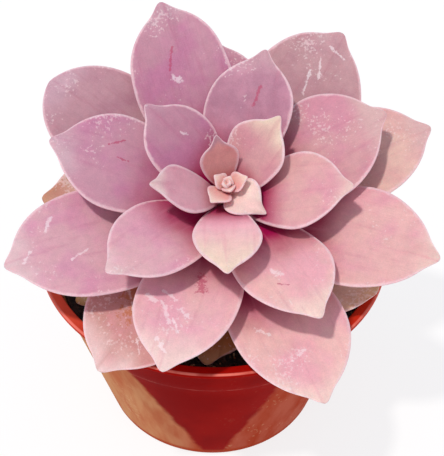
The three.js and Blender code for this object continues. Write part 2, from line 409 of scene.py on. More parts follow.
def stem_points(rows=160, columns=72):
    """Rings down the leaning axis: radius rises as 1 - e^(-depth/12), and scars add a low
    spiral of bumps, the product of two sines of the turn round the stem and the depth."""
    end = (BUD_CENTRE[2] - SOIL_LEVEL) / math.cos(math.radians(LEAN)) + STEM_DEPTH
    down = np.linspace(end, FIRST_ROOT - STEM_ABOVE, rows)
    round_axis = np.linspace(0, 2 * np.pi, columns, endpoint=False)
    depth, around = np.meshgrid(down, round_axis, indexing="ij")
    thickened = 1 - np.exp(-np.maximum(depth - FIRST_ROOT, 0) / STEM_THICKENS_OVER)
    radius = STEM_TOP_RADIUS + (STEM_FOOT_RADIUS - STEM_TOP_RADIUS) * thickened
    tip = smoothstep(depth, FIRST_ROOT - STEM_ABOVE, FIRST_ROOT)
    radius = STEM_TIP_RADIUS + (radius - STEM_TIP_RADIUS) * tip
    scars = np.sin(5 * around + 2.4 * depth) * np.sin(3 * around - 1.5 * depth)
    scars = SCAR_HEIGHT * scars * tip
    radius = radius + scars
    points = np.stack([radius * np.cos(around), radius * np.sin(around), -depth], -1)
    return points @ turn_about("X", LEAN).T + BUD_CENTRE


stem = make_piece("fine_stem", *closed_tube(stem_points()))
print("stem faces:", len(stem.data.polygons))

# %% [markdown]
# The pot is thin moulded plastic: a tapered wall, a faint ledge where a stack of such pots
# would nest, and a flat lip. Its outline is a profile turned about the axis. Each corner of
# the profile is rounded, because moulded plastic has no sharp edge and the rounding is what
# catches the light. Drain holes are cut through its floor.

# %% Pot
POT_HEIGHT = 70
LIP_RADIUS = 60
LIP_WIDTH = 3.5
LIP_THICKNESS = 1.8
WALL = 1.2
FLOOR = 2
BASE_RADIUS = 39.5
LEDGE_HEIGHT = 55
LEDGE_STEP = 0.7
DRAIN_HOLES = 6
DRAIN_RADIUS = 3
DRAIN_CIRCLE = 28
WALL_TOP = POT_HEIGHT - LIP_THICKNESS
WALL_TOP_RADIUS = LIP_RADIUS - LIP_WIDTH + WALL


def wall_radius(height):
    """Radius of the wall's outer face at a height, without the ledge: a straight line."""
    return BASE_RADIUS + (WALL_TOP_RADIUS - BASE_RADIUS) * height / WALL_TOP


def rounded_profile(corners, steps=5):
    """Replace each corner (radius, height, rounding) by a quadratic curve that leaves one side
    and joins the other at the rounding's distance: (1-t)^2 a + 2t(1-t) b + t^2 c."""
    points = []
    for before, corner, after in zip(corners[:-2], corners[1:-1], corners[2:]):
        b = np.array(corner[:2], float)
        ends = []
        for neighbour in (before, after):
            side = np.array(neighbour[:2]) - b
            length = np.linalg.norm(side)
            ends.append(b + side / length * min(corner[2], length / 2))
        a, c = ends
        t = np.linspace(0, 1, steps)[:, None]
        points.append((1 - t) ** 2 * a + 2 * t * (1 - t) * b + t**2 * c)
    return np.concatenate([[corners[0][:2]], *points, [corners[-1][:2]]])


def densified(profile, longest=4.0):
    """Add points so that no straight stretch of a profile is longer than the given length."""
    points = [profile[:1]]
    for a, b in zip(profile[:-1], profile[1:]):
        pieces = max(1, math.ceil(np.linalg.norm(b - a) / longest))
        points.append(a + (b - a) * (np.arange(1, pieces + 1) / pieces)[:, None])
    return np.concatenate(points)


def turned(profile, columns):
    """Rings of a profile of (radius, height) turned about the Z axis."""
    around = np.linspace(0, 2 * np.pi, columns, endpoint=False)
    radius, height = profile[:, :1], profile[:, 1:]
    flat = np.ones_like(around)
    return np.stack([radius * np.cos(around), radius * np.sin(around), height * flat], -1)


AXIS = 0.05
POT_COLUMNS = 200
DRILL_COLUMNS = 32
pot_corners = [
    (AXIS, 0, 0),
    (BASE_RADIUS, 0, 1.4),
    (wall_radius(LEDGE_HEIGHT) - LEDGE_STEP, LEDGE_HEIGHT - LEDGE_STEP, 0.3),
    (wall_radius(LEDGE_HEIGHT), LEDGE_HEIGHT, 0.5),
    (WALL_TOP_RADIUS, WALL_TOP, 0.5),
    (LIP_RADIUS, WALL_TOP, 0.5),
    (LIP_RADIUS, POT_HEIGHT, 0.6),
    (LIP_RADIUS - LIP_WIDTH, POT_HEIGHT, 0.5),
    (wall_radius(LEDGE_HEIGHT) - WALL - LEDGE_STEP, LEDGE_HEIGHT, 1),
    (wall_radius(FLOOR) - WALL, FLOOR, 1.5),
    (AXIS, FLOOR, 0),
]
pot_profile = densified(rounded_profile(pot_corners))
pot = make_piece("fine_pot", *closed_tube(turned(pot_profile, POT_COLUMNS)))

drill_profile = np.array([[DRAIN_RADIUS, -2.0 * FLOOR], [DRAIN_RADIUS, 3 * FLOOR]])
tube = turned(drill_profile, DRILL_COLUMNS)
drills = []
for hole in range(DRAIN_HOLES):
    angle = 2 * math.pi * hole / DRAIN_HOLES
    centre = [DRAIN_CIRCLE * math.cos(angle), DRAIN_CIRCLE * math.sin(angle), 0]
    drills.append(closed_tube(tube + centre))
drill = make_piece("drill", *join(drills))

bore = pot.modifiers.new("drain holes", "BOOLEAN")
bore.object = drill
bore.operation = "DIFFERENCE"
bore.solver = "EXACT"
with bpy.context.temp_override(object=pot):
    bpy.ops.object.modifier_apply(modifier=bore.name)
bpy.data.objects.remove(drill)
print("pot faces:", len(pot.data.polygons))

# %% [markdown]
# The soil fills the pot to below its lip. Its top is uneven, and loose grit lies on it.

# %% Soil
SOIL_CROWN = 0.8
CROWN_REACH = 53
SOIL_RINGS = 60


def soil_height(x, y):
    """Crown in the middle plus a sum of slow sine waves, in mm."""
    crown = SOIL_CROWN * (1 - np.hypot(x, y) / CROWN_REACH)
    waves = 0.35 * np.sin(0.31 * x + 1.3) * np.sin(0.27 * y + 0.4)
    waves = waves + 0.25 * np.sin(0.62 * x - 0.45 * y)
    return SOIL_LEVEL + crown + waves


def soil_radius(height):
    """Radius of the soil at a height, a gap inside the wall's inner face."""
    return wall_radius(height) - WALL - LEDGE_STEP - GAP


def soil_points(columns=160):
    """A closed plug: a flat floor, a tapered side, then rings closing over the uneven top."""
    bottom = FLOOR + GAP
    outer = soil_radius(SOIL_LEVEL)
    side = [[AXIS, bottom], [soil_radius(bottom) - GAP, bottom], [outer, SOIL_LEVEL]]
    top = [[radius, SOIL_LEVEL] for radius in np.linspace(outer - 2 * GAP, AXIS, SOIL_RINGS)]
    points = turned(densified(np.array(side + top, float), 3.0), columns)
    x, y, z = points[..., 0], points[..., 1], points[..., 2]
    points[..., 2] = np.where(z > SOIL_LEVEL - 0.01, soil_height(x, y), z)
    return points


soil = make_piece("fine_soil", *closed_tube(soil_points()))
print("soil faces:", len(soil.data.polygons))

# %% [markdown]
# Grit is what makes soil read as soil. Each grain is a rough lump of 20 faces, an icosahedron
# whose corners are pushed in and out, and 1,700 of them are strewn over the top by a seeded
# draw. Many are crumbs of half a millimetre and a few are small stones. A value on each
# grain's points, its tone, lets one skin colour them all differently.

# %% Grit
GRAINS = 1700
GRIT_SEED = 11
SMALLEST_GRAIN = 0.5
GRAIN_SPREAD = 0.8
GRAIN_SUNK = 0.15
GRIT_REACH = 51
PALE_STONE = (-47.5, -10.5, 1.9)
PALE_TONE = 0.99


def lump():
    """The 12 corners and 20 faces of an icosahedron: three golden rectangles crossed."""
    g = (1 + 5**0.5) / 2
    corners = [(-1, g, 0), (1, g, 0), (-1, -g, 0), (1, -g, 0), (0, -1, g), (0, 1, g)]
    corners += [(0, -1, -g), (0, 1, -g), (g, 0, -1), (g, 0, 1), (-g, 0, -1), (-g, 0, 1)]
    faces = [(0, 11, 5), (0, 5, 1), (0, 1, 7), (0, 7, 10), (0, 10, 11), (1, 5, 9), (5, 11, 4)]
    faces += [(11, 10, 2), (10, 7, 6), (7, 1, 8), (3, 9, 4), (3, 4, 2), (3, 2, 6), (3, 6, 8)]
    faces += [(3, 8, 9), (4, 9, 5), (2, 4, 11), (6, 2, 10), (8, 6, 7), (9, 8, 1)]
    return np.array(corners) / math.hypot(1, g), np.array(faces)


def grit_mesh():
    """All grains at once: a place drawn evenly over the disc (radius as the root of a draw),
    a size drawn as 0.5 / (1 - 0.8 draw^2) mm, a random squash of each corner, and a tone."""
    draw = np.random.default_rng(GRIT_SEED)
    corners, faces = lump()
    radius = GRIT_REACH * np.sqrt(draw.random(GRAINS))
    around = 2 * np.pi * draw.random(GRAINS)
    size = SMALLEST_GRAIN / (1 - GRAIN_SPREAD * draw.random(GRAINS) ** 2)
    tone = draw.random(GRAINS)
    x, y = radius * np.cos(around), radius * np.sin(around)
    x[0], y[0], size[0], tone[0] = *PALE_STONE, PALE_TONE
    pushed = corners * draw.uniform(0.7, 1.15, (GRAINS, len(corners), 1))
    shape = pushed * draw.uniform(0.6, 1, (GRAINS, 1, 3))
    middle = np.stack([x, y, soil_height(x, y) + GRAIN_SUNK * size], -1)
    points = shape * size[:, None, None] + middle[:, None]
    every_face = faces + len(corners) * np.arange(GRAINS)[:, None, None]
    tones = dict(tone=np.repeat(tone, len(corners)))
    return points.reshape(-1, 3), every_face.reshape(-1, 3).tolist(), tones


grit = make_piece("grit", *grit_mesh())
grit.data.shade_flat()
print("grains:", GRAINS)

# %% [markdown]
# Skins are trees of nodes. A few helpers keep them readable: one adds a node and fills its
# sockets, and the others name the steps that skins are made of, such as a smooth fade
# between two limits, a mix of two colours, or cloudy noise. Two limits of a fade that run
# downwards make it fall instead of rise.

# %% Node helpers


def add(tree, kind, inputs=(), **settings):
    """Add a node. inputs pairs a socket's name or number with a value, or an output to link."""
    node = tree.nodes.new(kind)
    for name, value in settings.items():
        setattr(node, name, value)
    for key, value in dict(inputs).items():
        if isinstance(value, bpy.types.NodeSocket):
            tree.links.new(value, node.inputs[key])
        else:
            node.inputs[key].default_value = value
    return node


def calculate(tree, operation, *values):
    """One sum on values, named as Blender's Math node names it."""
    return add(tree, "ShaderNodeMath", enumerate(values), operation=operation).outputs[0]


def times(tree, first, second):
    """The product of two values, which keeps a mask only where both are high."""
    return calculate(tree, "MULTIPLY", first, second)


def of_vectors(tree, operation, *values):
    """A sum on vectors. A dot product or a length leaves by the node's value socket."""
    node = add(tree, "ShaderNodeVectorMath", enumerate(values), operation=operation)
    return node.outputs["Value" if operation in ("DOT_PRODUCT", "LENGTH") else "Vector"]


def fade(tree, value, low, high, start=0.0, end=1.0):
    """A smooth change from start to end while the value goes from low to high."""
    limits = {0: value, 1: low, 2: high, 3: start, 4: end}
    return add(tree, "ShaderNodeMapRange", limits, interpolation_type="SMOOTHSTEP").outputs[0]


def mix(tree, share, first, second, blend="MIX"):
    """The first colour, with the second one over it by the given share."""
    colours = {0: share, 6: first, 7: second}
    return add(tree, "ShaderNodeMix", colours, data_type="RGBA", blend_type=blend).outputs[2]


def noise(tree, place, scale, detail=3.0, roughness=0.5):
    """Cloudy values about 0.5, with the given number of clouds in a metre."""
    inputs = {"Vector": place, "Scale": scale, "Detail": detail, "Roughness": roughness}
    return add(tree, "ShaderNodeTexNoise", inputs).outputs[0]


def centred(tree, cloudy, reach):
    """Cloudy values about 0.5, moved and stretched to lie between minus reach and reach."""
    return calculate(tree, "MULTIPLY_ADD", cloudy, 2 * reach, -reach)


def value_of(tree, name):
    """A value that the mesh carries on its points."""
    return add(tree, "ShaderNodeAttribute", attribute_name=name).outputs["Fac"]


def object_place(tree):
    """The point's own place in metres, which moves with the piece."""
    return add(tree, "ShaderNodeTexCoord").outputs["Object"]


def new_group(name, inputs, outputs):
    """An empty group with named sockets, and the sockets to read and fill inside it."""
    group = bpy.data.node_groups.new(name, "ShaderNodeTree")
    for title, kind, value in inputs:
        socket = group.interface.new_socket(title, in_out="INPUT", socket_type=f"NodeSocket{kind}")
        socket.default_value = value
    for title, kind in outputs:
        group.interface.new_socket(title, in_out="OUTPUT", socket_type=f"NodeSocket{kind}")
    given = add(group, "NodeGroupInput").outputs
    made = add(group, "NodeGroupOutput").inputs
    return group, given, made


def use(tree, group, **inputs):
    """Place a group in a tree. A word's underscore stands for the space in a socket's name."""
    named = {title.replace("_", " "): value for title, value in inputs.items()}
    return add(tree, "ShaderNodeGroup", named, node_tree=group).outputs


def plain_surface(name):
    """A new material, with its tree and its shader."""
    material = bpy.data.materials.new(name)
    material.use_nodes = True
    return material, material.node_tree, material.node_tree.nodes["Principled BSDF"]


def dress(tree, shader, colour, roughness, height, relief, strength=1.0):
    """Give a surface its colour and roughness, and a height, in relief metres, that tilts it."""
    inputs = {"Height": height, "Strength": strength, "Distance": relief}
    tilted = add(tree, "ShaderNodeBump", inputs).outputs[0]
    for socket, value in {"Base Color": colour, "Roughness": roughness, "Normal": tilted}.items():
        tree.links.new(value, shader.inputs[socket])


# %% [markdown]
# Fine pale specks gather in patches on the leaves' wax, as dust on the pot and as salts on the
# soil. A speck shows where quick noise plus slow noise passes a threshold, so specks crowd
# together where the slow noise is high. One group makes them for every skin.

# %% Speckle group
SLOW_SHARE = 0.9
THRESHOLD, THRESHOLD_PER_AMOUNT = 1.28, -0.32
SPECK_EDGE = 0.09
speckle, given, made = new_group(
    "speckle",
    [
        ("Place", "Vector", (0, 0, 0)),
        ("Grain", "Float", 900),
        ("Patch", "Float", 60),
        ("Amount", "Float", 0.5),
    ],
    [("Mask", "Float")],
)
quick = noise(speckle, given["Place"], given["Grain"], detail=2.0)
slow = noise(speckle, given["Place"], given["Patch"])
level = calculate(speckle, "ADD", quick, times(speckle, slow, SLOW_SHARE))
low = calculate(speckle, "MULTIPLY_ADD", given["Amount"], THRESHOLD_PER_AMOUNT, THRESHOLD)
high = calculate(speckle, "ADD", low, SPECK_EDGE)
speckle.links.new(fade(speckle, level, low, high), made["Mask"])

# %% [markdown]
# Handling leaves marks on the soft wax: scratches that show pale, red weals where the skin was
# hurt, and a brown stain. Each is a stroke between two points of the flat leaf, in mm from its
# root and from its middle line. The mask is the distance to the stroke, with a ragged edge.

# %% Stroke group
RAGGED_SCALE = 700.0
RAGGED_WIDTHS = 2.0
EDGE_WIDTHS, CORE_WIDTHS = 0.6, 0.15
NEVER_ZERO = 0.001
stroke, given, made = new_group(
    "stroke",
    [("Start", "Vector", (0, 0, 0)), ("End", "Vector", (0, 0, 0)), ("Width", "Float", 1)],
    [("Mask", "Float")],
)
tree = stroke
flat = {0: value_of(tree, "flat_x"), 1: value_of(tree, "flat_y")}
point = add(tree, "ShaderNodeCombineXYZ", flat).outputs[0]
point = of_vectors(tree, "MULTIPLY", point, (FLAT_UNIT,) * 3)
offset = of_vectors(tree, "SUBTRACT", point, given["Start"])
run = of_vectors(tree, "SUBTRACT", given["End"], given["Start"])
run_squared = calculate(tree, "ADD", of_vectors(tree, "DOT_PRODUCT", run, run), NEVER_ZERO)
share = calculate(tree, "DIVIDE", of_vectors(tree, "DOT_PRODUCT", offset, run), run_squared)
share = calculate(tree, "MINIMUM", calculate(tree, "MAXIMUM", share, 0.0), 1.0)
nearest = of_vectors(tree, "MULTIPLY", run, share)
away = of_vectors(tree, "LENGTH", of_vectors(tree, "SUBTRACT", offset, nearest))
rough = noise(tree, object_place(tree), RAGGED_SCALE, detail=4.0, roughness=0.7)
rough = centred(tree, rough, RAGGED_WIDTHS)
away = calculate(tree, "MULTIPLY_ADD", rough, given["Width"], away)
edge = times(tree, given["Width"], EDGE_WIDTHS)
core = times(tree, given["Width"], CORE_WIDTHS)
mask = times(tree, fade(tree, away, edge, core), value_of(tree, "upper"))
tree.links.new(mask, made["Mask"])

# %% [markdown]
# A leaf's skin is a dusty rose with a powder of pale wax. Towards the root the pink turns a deep
# magenta, partly the leaf's own colour and partly painted shade for the recesses under the leaves
# above. The margin is a thin pale line, and the tip is cream. The group takes those colours and how
# far each one reaches, and every leaf uses it with its own values. Slow clouds shift the colour a
# little, so no leaf is one flat tone.

# %% Leaf skin group
CLOUD_SCALE, WANDER_SCALE, EDGE_SCALE = 70.0, 45.0, 500.0
FOLD_SCALE, MOTTLE_SCALE, GRAIN_SCALE = 38.0, 340.0, 2600.0
FOLD_STRETCH = 0.12
WANDER = 0.15
DEEP_FADES_OVER = 0.3
RIM_RAGGED_MM = 0.6
RIM_FROM_MM, RIM_FULL_MM = 1.3, 0.35
EDGE_BLOOM = (9.0, 1.0, 0.25, 1.0)
TIP_BLOOM = (0.45, 0.9, 0.2, 1.0)
WAX_WHITE = paint(246, 232, 232)
WAX_STRENGTH, VEIN_STRENGTH = 0.38, 0.3
UNEVEN = (0.3, 0.7, 0.95, 1.04)
SMOOTH_WAX, POWDERY_WAX = 0.46, 0.62
GRAIN_HEIGHT, MOTTLE_HEIGHT, SPECK_HEIGHT = 0.12, 0.1, 0.12
SKIN_COLOURS = ["Body", "Cloud", "Deep", "Tip", "Rim"]
SKIN_SHARES = ["Deep Reach", "Tip From", "Rim Share", "Bloom"]
leaf_skin, given, made = new_group(
    "leaf skin",
    [(title, "Color", WAX_WHITE) for title in SKIN_COLOURS]
    + [(title, "Float", 0.5) for title in SKIN_SHARES],
    [("Color", "Color"), ("Roughness", "Float"), ("Height", "Float")],
)
tree = leaf_skin
place = object_place(tree)
along = value_of(tree, "along")
margin = value_of(tree, "margin")
cloud = fade(tree, noise(tree, place, CLOUD_SCALE, roughness=0.6), 0.38, 0.66)
colour = mix(tree, cloud, given["Body"], given["Cloud"])
wander = centred(tree, noise(tree, place, WANDER_SCALE), WANDER)
along_wandered = calculate(tree, "ADD", along, wander)
# The magenta towards the root is partly the leaf's own colour and partly painted shade.
deep_full = calculate(tree, "SUBTRACT", given["Deep Reach"], DEEP_FADES_OVER)
deep = fade(tree, along_wandered, given["Deep Reach"], deep_full)
colour = mix(tree, deep, colour, given["Deep"])
tip = fade(tree, along_wandered, given["Tip From"], 1.0)
colour = mix(tree, tip, colour, given["Tip"])
ragged_margin = centred(tree, noise(tree, place, EDGE_SCALE), RIM_RAGGED_MM)
ragged_margin = calculate(tree, "ADD", margin, ragged_margin)
rim = times(tree, fade(tree, ragged_margin, RIM_FROM_MM, RIM_FULL_MM), given["Rim Share"])
rim = times(tree, rim, fade(tree, along, 0.15, 0.4))
colour = mix(tree, rim, colour, given["Rim"])

# %% [markdown]
# The wax powders the leaf in pale specks, thickest at the margin and the tip. Faint veins run
# lengthwise, and a fine grain keeps the colour and the height uneven.

# %% Leaf skin group: wax, veins and grain
near_edge = fade(tree, margin, *EDGE_BLOOM)
near_tip = fade(tree, along, *TIP_BLOOM)
amount = times(tree, calculate(tree, "MAXIMUM", near_edge, near_tip), given["Bloom"])
specks = use(tree, speckle, Place=place, Grain=1100.0, Patch=75.0, Amount=amount)["Mask"]
colour = mix(tree, times(tree, specks, WAX_STRENGTH), colour, WAX_WHITE)
stretched = {0: times(tree, value_of(tree, "flat_x"), FOLD_STRETCH)}
stretched[1] = value_of(tree, "flat_y")
folds = noise(tree, add(tree, "ShaderNodeCombineXYZ", stretched).outputs[0], FOLD_SCALE)
veins = times(tree, fade(tree, folds, 0.52, 0.72), VEIN_STRENGTH)
colour = mix(tree, veins, colour, mix(tree, 0.3, given["Cloud"], given["Deep"]))
grain = noise(tree, place, GRAIN_SCALE, detail=2.0)
mottle = noise(tree, place, MOTTLE_SCALE, detail=5.0, roughness=0.65)
lighter = times(tree, fade(tree, grain, *UNEVEN), fade(tree, mottle, *UNEVEN))
colour = mix(tree, 1.0, colour, lighter, "MULTIPLY")
tree.links.new(colour, made["Color"])
tree.links.new(fade(tree, specks, 0.0, 1.0, SMOOTH_WAX, POWDERY_WAX), made["Roughness"])
height = calculate(tree, "MULTIPLY_ADD", grain, GRAIN_HEIGHT, folds)
height = calculate(tree, "MULTIPLY_ADD", mottle, MOTTLE_HEIGHT, height)
height = calculate(tree, "MULTIPLY_ADD", specks, SPECK_HEIGHT, height)
tree.links.new(height, made["Height"])

# %% [markdown]
# Now each leaf gets its own values. Young leaves near the bud are the palest and the old ones
# at the foot are drying to beige and brown. The leaves on the far left look more lilac and
# those on the near right more salmon, so the body colour goes by the leaf's azimuth. By the
# same azimuth the front leaves get painted light and the back ones painted shade.

# %% Leaf colours
LILAC = np.array([205, 155, 172])
SALMON = np.array([222, 172, 168])
LILAC_AZIMUTH = 135
# Painted light on the front leaves and, with the sign turned, painted shade on the back ones.
PAINTED_FRONT_LIGHT_BACK_SHADE = np.array([15, 21, 19])
MARK_COLOURS = dict(scratch=paint(250, 240, 242), weal=paint(184, 40, 92))
MARK_COLOURS |= dict(stain=paint(196, 120, 80))
MARK_STRENGTHS = dict(scratch=0.5, weal=0.6, stain=0.8)
PALE_RIM = (240, 208, 212)
# Root magenta, deepened as painted shade for the recesses between leaves.
SHADED_ROOT_MAGENTA = (166, 0, 78)
CLOUD_SHIFT = np.array([-2, -16, -2])
TIP_SHIFT = np.array([4, 20, 14])
USUAL_TIP_FROM = 0.86
USUAL_REACH = 0.54

# How far from its root the magenta, partly painted shade, reaches on single leaves,
# as a share of the length
OWN_REACH = {5: 0.62, 6: 0.6, 7: 0.66, 9: 0.7, 10: 0.6, 11: 0.62}
OWN_REACH |= {12: 0.64, 14: 0.66, 15: 0.64, 17: 0.7}
OWN_SKIN = {
    0: dict(body=(226, 164, 158), cloud=(220, 150, 150), deep=(196, 40, 84), deep_reach=0.5),
    1: dict(body=(244, 220, 206), cloud=(242, 204, 196), deep=(224, 130, 140), deep_reach=0.3),
    2: dict(body=(224, 174, 184), cloud=(220, 160, 174), tip=(238, 212, 206), deep_reach=0.45),
    3: dict(body=(214, 162, 164), cloud=(210, 148, 158), tip=(234, 212, 190), tip_from=0.7),
    4: dict(body=(242, 190, 198), cloud=(240, 176, 190), tip=(240, 218, 196), tip_from=0.45),
    # Leaves 8, 16 and 18 at the back get darker bodies as painted shade, and leaf 8 also its own
    # darker lilac.
    8: dict(body=(178, 122, 144), cloud=(202, 144, 164)),
    16: dict(body=(196, 152, 156), cloud=(186, 136, 146)),
    18: dict(body=(192, 146, 156), cloud=(180, 128, 144)),
    19: dict(body=(228, 190, 178), cloud=(218, 168, 166)),
    # Leaf 20's brown towards the root is partly its own colour and partly painted shade.
    20: dict(body=(214, 154, 156), cloud=(206, 152, 144), deep=(176, 116, 100), deep_reach=0.6),
    22: dict(body=(224, 200, 178), cloud=(216, 180, 162), deep=(170, 110, 90), tip=(214, 180, 140)),
    23: dict(body=(212, 170, 154), cloud=(205, 150, 138), deep=(150, 90, 80), tip=(190, 140, 110)),
    24: dict(body=(196, 160, 125), cloud=(170, 120, 90), deep=(130, 80, 70), tip=(150, 100, 70)),
    25: dict(body=(196, 128, 76), cloud=(170, 100, 52), deep=(110, 56, 26), tip=(206, 160, 116)),
    26: dict(body=(176, 136, 90), cloud=(140, 98, 60), deep=(95, 60, 40), tip=(110, 70, 42)),
    27: dict(body=(150, 100, 60), cloud=(120, 72, 40), deep=(80, 46, 26), tip=(96, 56, 30)),
    28: dict(body=(240, 222, 168), cloud=(226, 198, 140), deep=(170, 125, 78), tip=(190, 146, 84)),
}

# %% [markdown]
# The marks are set one by one, where the photograph shows the clearest of them. Each has its
# kind, its two ends on the flat leaf and its width, in mm.

# %% Marks on single leaves
MARKS = {
    5: [("scratch", (26, -3.5), (28, -2.5), 0.8)],
    8: [("weal", (33.6, -1.3), (41.2, -2), 1.1)],
    9: [("scratch", (37, -4), (39.5, -2.5), 2), ("weal", (44.2, -2.5), (42.2, -5.1), 0.6)],
    10: [("weal", (44.4, -4.8), (40, -8), 0.7), ("weal", (40.8, -1.4), (37, -1.4), 0.7)],
    12: [
        ("scratch", (45, -12), (46.5, -9), 1.4),
        ("scratch", (46, -7), (52, -3), 1.2),
        ("scratch", (47, -1), (49, 2), 1.6),
        ("scratch", (51, -2), (55, 1), 0.8),
        ("scratch", (42, -8), (44, -3), 1),
        ("weal", (34, 1.5), (38.3, 3.5), 2.8),
        ("scratch", (58, -5), (62, -1), 1.1),
    ],
    13: [("weal", (58.7, 0.4), (51.5, 3), 0.8), ("scratch", (47.5, 1), (48.5, 2.5), 1.6)],
    15: [
        ("scratch", (58, -12), (61, -8), 1),
        ("scratch", (50.9, 1.7), (57, 4), 0.7),
        ("scratch", (68, -2.5), (71, 1), 0.9),
    ],
    16: [
        ("scratch", (49, 1), (57, 3), 0.8),
        ("scratch", (56, -1), (63, 2.2), 0.7),
        ("scratch", (67, -5), (68, 1), 0.8),
    ],
    17: [("scratch", (49, -10), (51, -7), 1.3), ("scratch", (60, 1), (62, -4), 1.2)],
    19: [("scratch", (55.6, -2.4), (56.4, -1.6), 1.4)],
    20: [
        ("stain", (42, -9), (50, -3), 7),
        ("scratch", (43, -11), (46, -7), 0.9),
        ("scratch", (47, -6), (50, -3), 0.9),
        ("scratch", (57, 3), (61, 7), 0.8),
    ],
}

# %% [markdown]
# The rule and the tables come together in one material for each leaf. Wax is soft: light goes
# a little way into it before it comes back, which subsurface scattering stands for.

# %% Leaf materials


def body_colour(azimuth):
    """Between salmon and lilac by half of one plus the cosine of the angle to the lilac side, with
    painted light towards the front and painted shade towards the back by the sine of the azimuth."""
    share = 0.5 + 0.5 * math.cos(math.radians(azimuth - LILAC_AZIMUTH))
    # Painted light at the front, painted shade at the back.
    painted_light_and_shade = -math.sin(math.radians(azimuth)) * PAINTED_FRONT_LIGHT_BACK_SHADE
    return SALMON + (LILAC - SALMON) * share + painted_light_and_shade


def skin_of_leaf(n):
    """The leaf skin group's values for leaf n, from the rule and then from its own entry. The
    rim grows fainter and the bloom thicker from leaf to leaf outwards."""
    rule = body_colour(large_leaf(n)["azimuth"])
    own = dict(body=rule, cloud=rule + CLOUD_SHIFT, deep=SHADED_ROOT_MAGENTA, rim=PALE_RIM)
    own |= dict(tip=rule + TIP_SHIFT, tip_from=USUAL_TIP_FROM, rim_share=0.85 - 0.015 * n)
    own |= dict(bloom=0.35 + 0.014 * n, deep_reach=OWN_REACH.get(n, USUAL_REACH))
    return own | OWN_SKIN.get(n, {})


WAX = {
    "Specular IOR Level": 0.22,
    "Subsurface Weight": 0.25,
    "Subsurface Radius": (1.0, 0.35, 0.45),
    "Subsurface Scale": 0.003,
    "Sheen Weight": 0.08,
}
WAX_RELIEF, WAX_STEEPNESS = 0.00035, 0.5


def waxy_surface(name, own, marks=()):
    """A material with the leaf skin group's values from own, the marks over it, and WAX."""
    material, tree, shader = plain_surface(name)
    sockets = {title: paint(*own[title.lower()]) for title in SKIN_COLOURS}
    sockets |= {title: own[title.lower().replace(" ", "_")] for title in SKIN_SHARES}
    skin = use(tree, leaf_skin, **sockets)
    colour = skin["Color"]
    for kind, start, end, width in marks:
        mask = use(tree, stroke, Start=(*start, 0), End=(*end, 0), Width=width)["Mask"]
        colour = mix(tree, times(tree, mask, MARK_STRENGTHS[kind]), colour, MARK_COLOURS[kind])
    dress(tree, shader, colour, skin["Roughness"], skin["Height"], WAX_RELIEF, WAX_STEEPNESS)
    for title, value in WAX.items():
        shader.inputs[title].default_value = value
    return material


for n, leaf in enumerate(leaves):
    skin = waxy_surface(f"leaf {n:02d} skin", skin_of_leaf(n), MARKS.get(n, ()))
    leaf.data.materials.append(skin)
print("leaf skins:", len(leaves))

# %% [markdown]
# The bud's leaves are the youngest: peach pink with pale backs, and dark pink where they meet,
# partly their own colour and partly painted shade.

# %% Bud skin
of_bud = dict(body=(236, 178, 168), cloud=(232, 158, 156), deep=(190, 70, 90), deep_reach=0.55)
of_bud |= dict(tip=(244, 216, 200), tip_from=0.7, rim=PALE_RIM, rim_share=0.6, bloom=0.2)
bud.data.materials.append(waxy_surface("bud skin", of_bud))

# %% [markdown]
# The stem is a woody brown with rings where leaves have dropped. Its skin mixes two browns by
# noise that is stretched round the stem, and the same noise raises it.

# %% Stem bark
RING_CLOUDS = (120.0, 120.0, 700.0)
DARK_BARK, PALE_BARK, FLECK = paint(96, 58, 44), paint(170, 130, 104), paint(205, 180, 155)
BARK_RELIEF = 0.0006
bark, tree, shader = plain_surface("stem bark")
place = object_place(tree)
rings = of_vectors(tree, "MULTIPLY", place, RING_CLOUDS)
ringed = noise(tree, rings, 1.0, detail=4.0, roughness=0.6)
flecks = use(tree, speckle, Place=place, Grain=1500.0, Patch=200.0, Amount=0.5)["Mask"]
colour = mix(tree, fade(tree, ringed, 0.35, 0.65), DARK_BARK, PALE_BARK)
colour = mix(tree, times(tree, flecks, 0.5), colour, FLECK)
dress(tree, shader, colour, fade(tree, ringed, 0.3, 0.7, 0.6, 0.85), ringed, BARK_RELIEF)
stem.data.materials.append(bark)

# %% [markdown]
# Soil: a black brown with damp dark patches and rusty ones, dusted with tan crumbs. The
# grit's skin picks its colour by each grain's tone, from dark through tan to a few pale ones.

# %% Soil skins
BLACK_EARTH, BROWN_EARTH, DAMP_EARTH = paint(26, 14, 9), paint(74, 48, 32), paint(22, 12, 8)
SALT_TAN = paint(150, 110, 78)
SOIL_RELIEF, GRIT_RELIEF = 0.0015, 0.0003
soil_mix, tree, shader = plain_surface("soil mix")
place = object_place(tree)
crumbs = noise(tree, place, 420.0, detail=5.0, roughness=0.7)
damp = noise(tree, place, 60.0)
colour = mix(tree, fade(tree, crumbs, 0.4, 0.68), BLACK_EARTH, BROWN_EARTH)
colour = mix(tree, fade(tree, damp, 0.45, 0.65, 0.0, 0.6), colour, DAMP_EARTH)
salts = use(tree, speckle, Place=place, Grain=900.0, Patch=120.0, Amount=0.3)["Mask"]
colour = mix(tree, times(tree, salts, 0.7), colour, SALT_TAN)
dress(tree, shader, colour, fade(tree, crumbs, 0.3, 0.7, 0.95, 0.75), crumbs, SOIL_RELIEF)
soil.data.materials.append(soil_mix)

